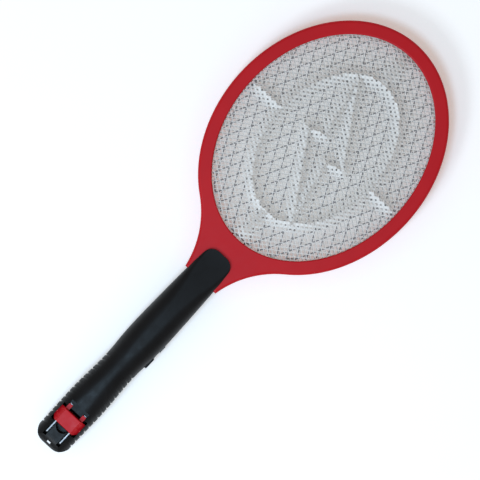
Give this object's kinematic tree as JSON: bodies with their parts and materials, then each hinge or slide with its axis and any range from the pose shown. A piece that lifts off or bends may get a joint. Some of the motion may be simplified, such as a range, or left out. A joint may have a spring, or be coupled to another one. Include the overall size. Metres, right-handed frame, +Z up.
{
  "type": "electric fly swatter",
  "caption": "Handheld electric fly swatter: oval framed mesh head on a tapered grip with a fold-out charging plug.",
  "frame": {"origin": "centre of the object's bounding box in X and Y, on the plane it stands on", "axes": "+X along the handle to the tip of the head, +Y across the head, +Z up through the grids"},
  "size_m": [0.3824, 0.1576, 0.0284],
  "materials": {
    "black_plastic": "satin, lightly grained",
    "red_plastic": "satin moulded red",
    "grid_metal": "expanded mesh, dull pale metal",
    "inner_grid_metal": "expanded mesh, dull grey metal",
    "spacer_plastic": "natural insulating plastic",
    "steel": "zinc-plated steel",
    "plug_brass": "nickel-plated brass",
    "board": "green solder mask",
    "ferrite": "sintered ferrite",
    "winding": "taped coil",
    "film_capacitor": "dipped epoxy",
    "component_black": "moulded epoxy",
    "resistor_body": "lacquered",
    "cell_sleeve": "shrink sleeve over a steel can",
    "lead_red": "soft PVC insulation",
    "lead_black": "soft PVC insulation",
    "switch_plastic": "moulded nylon"
  },
  "bodies": {
    "housing": {"handle_top_shell": "black_plastic", "handle_bottom_shell": "black_plastic", "handle_screws": "steel", "head_frame_top": "red_plastic", "head_frame_bottom": "red_plastic", "head_frame_screws": "steel", "outer_grid_top": "grid_metal", "outer_grid_bottom": "grid_metal", "inner_grid": "inner_grid_metal", "spacer_ring_top": "spacer_plastic", "spacer_ring_bottom": "spacer_plastic", "plug_contact_cradle": "switch_plastic", "contact_spring_left": "plug_brass", "contact_spring_right": "plug_brass", "fire_switch_body": "switch_plastic", "power_switch_body": "switch_plastic", "battery_cell_left": "cell_sleeve", "battery_cell_right": "cell_sleeve", "battery_link_strip": "steel", "battery_end_tabs": "steel", "battery_lead_positive": "lead_red", "battery_lead_negative": "lead_black", "circuit_board": "board", "transformer_core": "ferrite", "transformer_bobbin": "component_black", "transformer_winding": "winding", "mains_dropper_capacitor": "film_capacitor", "high_voltage_capacitor": "film_capacitor", "rectifier_diodes": "component_black", "high_voltage_diodes": "component_black", "resistors": "resistor_body", "switching_transistor": "component_black", "mains_lead_left": "lead_black", "mains_lead_right": "lead_black", "inner_grid_lead": "lead_red", "outer_grid_lead": "lead_black"},
    "plug": {"plug_block": "red_plastic", "plug_blade_left": "plug_brass", "plug_blade_right": "plug_brass"},
    "fire_button": {"fire_button": "black_plastic", "fire_switch_plunger": "switch_plastic"},
    "power_switch": {"power_switch_knob": "black_plastic", "power_switch_slider": "switch_plastic"}
  },
  "joints": [
    {"name": "plug_fold", "type": "hinge", "parent": "housing", "child": "plug", "pos_m": [-0.16805, 0, 0.0222], "axis": [0, 1, 0], "range_deg": [0, 90]},
    {"name": "fire_button_press", "type": "slide", "parent": "housing", "child": "fire_button", "axis": [0, 1, 0], "range_m": [0, 0.001], "stiffness_N_per_m": 400},
    {"name": "power_switch_slide", "type": "slide", "parent": "housing", "child": "power_switch", "axis": [1, 0, 0], "range_m": [0, 0.0025]}
  ]
}
